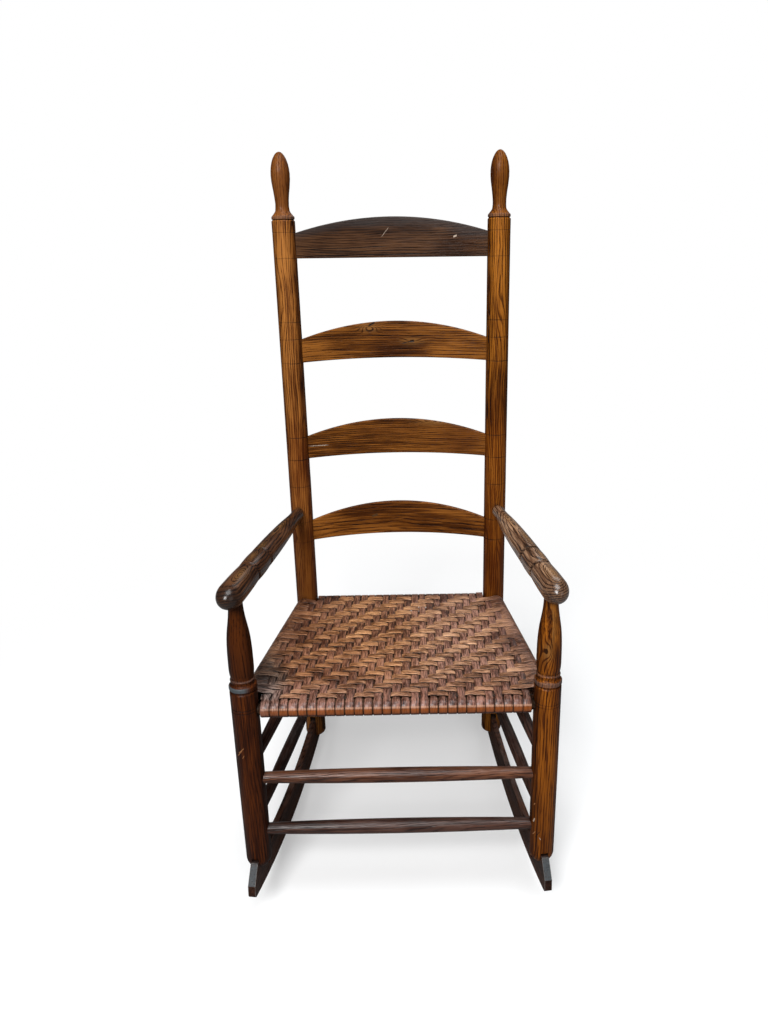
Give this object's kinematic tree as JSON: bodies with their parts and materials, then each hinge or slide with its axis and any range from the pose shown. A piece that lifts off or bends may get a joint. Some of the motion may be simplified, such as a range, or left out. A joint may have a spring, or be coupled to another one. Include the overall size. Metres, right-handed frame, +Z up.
{
  "type": "rocking chair",
  "caption": "High ladder-back rocking chair with turned posts and finials, bent back slats, turned arms, a twill-woven splint seat and curved rockers let into slotted feet.",
  "frame": {"origin": "on the floor under the middle of the chair's length and width, with the chair at rest on its rockers", "axes": "+Z up, -Y to the front of the seat, +X to the right as seen from the front"},
  "size_m": [0.5142, 0.6734, 1.1441],
  "materials": {
    "post_wood": "stained and varnished ring-porous wood, worn satin",
    "slat_wood": "stained and varnished wood with long grain, satin",
    "arm_wood": "hand-worn stained wood, satin to gloss",
    "stretcher_wood": "dark stained wood, satin",
    "rocker_wood": "dark stained wood with a worn, dull edge",
    "rail_wood": "plain turned wood under the weave",
    "warp_splint": "aged split-wood band, dull with a soft sheen",
    "weft_splint": "aged split-wood band, light brown, soft sheen",
    "pin_wood": "end grain of a wooden peg"
  },
  "bodies": {
    "root": {"front_post_left": "post_wood", "rear_post_left": "post_wood", "arm_left": "arm_wood", "rocker_left": "rocker_wood", "seat_rail_left": "rail_wood", "left_stretcher_upper": "stretcher_wood", "left_stretcher_lower": "stretcher_wood", "front_post_right": "post_wood", "rear_post_right": "post_wood", "arm_right": "arm_wood", "rocker_right": "rocker_wood", "seat_rail_right": "rail_wood", "right_stretcher_upper": "stretcher_wood", "right_stretcher_lower": "stretcher_wood", "front_stretcher_upper": "stretcher_wood", "front_stretcher_lower": "stretcher_wood", "rear_stretcher": "stretcher_wood", "seat_rail_front": "rail_wood", "seat_rail_rear": "rail_wood", "slat_top": "slat_wood", "slat_upper": "slat_wood", "slat_lower": "slat_wood", "slat_bottom": "slat_wood", "slat_pins": "pin_wood", "rocker_pins": "pin_wood", "seat_warp_splints": "warp_splint", "seat_weft_splints": "weft_splint"}
  },
  "joints": []
}
